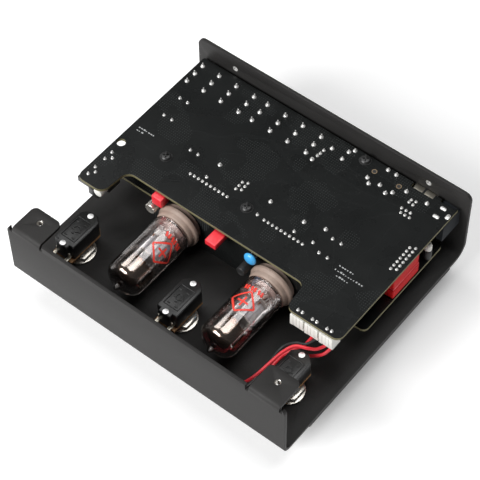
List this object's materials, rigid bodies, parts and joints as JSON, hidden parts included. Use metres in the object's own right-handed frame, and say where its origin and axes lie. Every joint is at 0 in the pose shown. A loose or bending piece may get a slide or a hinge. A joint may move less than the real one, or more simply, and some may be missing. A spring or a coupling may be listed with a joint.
{
  "type": "valve preamplifier and headphone amplifier chassis",
  "caption": "Folded steel floor-unit chassis with its cover off: stacked circuit boards, glass valves lying down, footswitches, knobs and rear jacks.",
  "frame": {"origin": "centre of the bounding box, on the surface it stands on with its knobs down", "axes": "+X along the front wall towards the power socket side, +Y from the front wall to the rear jacks, +Z out of the open side"},
  "size_m": [0.166, 0.149, 0.0595],
  "materials": {
    "powder_coat": "fine powder coat",
    "solder_mask": "glossy black solder mask on glass-fibre board",
    "black_plastic": "moulded, satin",
    "red_plastic": "moulded, glossy",
    "cream_ceramic": "unglazed",
    "white_plastic": "moulded, satin",
    "blue_coating": "dipped, glossy",
    "bright_nickel": "polished plating",
    "grey_metal": "plated, satin",
    "clear_glass": "clear, polished",
    "red_wire": "wire insulation",
    "grey_wire": "wire insulation"
  },
  "bodies": {
    "unit": {"chassis": "powder_coat", "face_plate": "powder_coat", "main_board": "solder_mask", "control_board": "solder_mask", "valve_board": "solder_mask", "spacer_left": "grey_metal", "spacer_middle": "grey_metal", "spacer_rear": "grey_metal", "valve_socket_left": "cream_ceramic", "valve_glass_left": "clear_glass", "valve_electrodes_left": "grey_metal", "valve_socket_right": "cream_ceramic", "valve_glass_right": "clear_glass", "valve_electrodes_right": "grey_metal", "footswitch_housing_left": "black_plastic", "footswitch_bushing_left": "bright_nickel", "footswitch_housing_middle": "black_plastic", "footswitch_bushing_middle": "bright_nickel", "footswitch_housing_right": "black_plastic", "footswitch_bushing_right": "bright_nickel", "jack_1": "black_plastic", "jack_2": "black_plastic", "jack_3": "black_plastic", "jack_4": "black_plastic", "small_jack": "black_plastic", "data_jack": "black_plastic", "usb_socket": "grey_metal", "dc_socket": "black_plastic", "slide_switch": "grey_metal", "board_connector": "red_plastic", "film_capacitor_left": "red_plastic", "film_capacitor_right": "red_plastic", "can_capacitor_left": "grey_metal", "can_capacitor_right": "black_plastic", "disc_capacitor": "blue_coating", "level_control": "black_plastic", "wire_connector_1": "white_plastic", "wire_connector_2": "white_plastic", "wire_connector_3": "white_plastic", "wire_middle": "red_wire", "wire_right_a": "red_wire", "wire_right_b": "red_wire", "wire_grey": "grey_wire", "potentiometer_1": "grey_metal", "potentiometer_2": "grey_metal", "potentiometer_3": "grey_metal", "potentiometer_4": "grey_metal", "potentiometer_5": "grey_metal", "potentiometer_6": "grey_metal"},
    "cap_left": {"footswitch_cap_left": "bright_nickel"},
    "cap_middle": {"footswitch_cap_middle": "bright_nickel"},
    "cap_right": {"footswitch_cap_right": "bright_nickel"},
    "knob_body_1": {"knob_1": "black_plastic"},
    "knob_body_2": {"knob_2": "black_plastic"},
    "knob_body_3": {"knob_3": "black_plastic"},
    "knob_body_4": {"knob_4": "black_plastic"},
    "knob_body_5": {"knob_5": "black_plastic"},
    "knob_body_6": {"knob_6": "black_plastic"},
    "lever": {"slide_lever": "black_plastic"},
    "rotor": {"level_rotor": "white_plastic"}
  },
  "joints": [
    {"name": "footswitch_left_press", "type": "slide", "parent": "unit", "child": "cap_left", "axis": [0, 0, 1], "range_m": [0, 0.0025], "stiffness_N_per_m": 3000, "springref_m": -0.004},
    {"name": "footswitch_middle_press", "type": "slide", "parent": "unit", "child": "cap_middle", "axis": [0, 0, 1], "range_m": [0, 0.0025], "stiffness_N_per_m": 3000, "springref_m": -0.004},
    {"name": "footswitch_right_press", "type": "slide", "parent": "unit", "child": "cap_right", "axis": [0, 0, 1], "range_m": [0, 0.0025], "stiffness_N_per_m": 3000, "springref_m": -0.004},
    {"name": "knob_1_turn", "type": "hinge", "parent": "unit", "child": "knob_body_1", "pos_m": [-0.06, 0.02205, 0], "axis": [0, 0, 1], "range_deg": [-150, 150]},
    {"name": "knob_2_turn", "type": "hinge", "parent": "unit", "child": "knob_body_2", "pos_m": [-0.036, 0.02205, 0], "axis": [0, 0, 1], "range_deg": [-150, 150]},
    {"name": "knob_3_turn", "type": "hinge", "parent": "unit", "child": "knob_body_3", "pos_m": [-0.012, 0.02205, 0], "axis": [0, 0, 1], "range_deg": [-150, 150]},
    {"name": "knob_4_turn", "type": "hinge", "parent": "unit", "child": "knob_body_4", "pos_m": [0.012, 0.02205, 0], "axis": [0, 0, 1], "range_deg": [-150, 150]},
    {"name": "knob_5_turn", "type": "hinge", "parent": "unit", "child": "knob_body_5", "pos_m": [0.036, 0.02205, 0], "axis": [0, 0, 1], "range_deg": [-150, 150]},
    {"name": "knob_6_turn", "type": "hinge", "parent": "unit", "child": "knob_body_6", "pos_m": [0.06, 0.02205, 0], "axis": [0, 0, 1], "range_deg": [-150, 150]},
    {"name": "slide_lever_move", "type": "slide", "parent": "unit", "child": "lever", "axis": [0, 1, 0], "range_m": [0, 0.002]},
    {"name": "level_rotor_turn", "type": "hinge", "parent": "unit", "child": "rotor", "pos_m": [-0.066, -0.02695, 0.0443], "axis": [0, 1, 0], "range_deg": [-120, 120]}
  ]
}
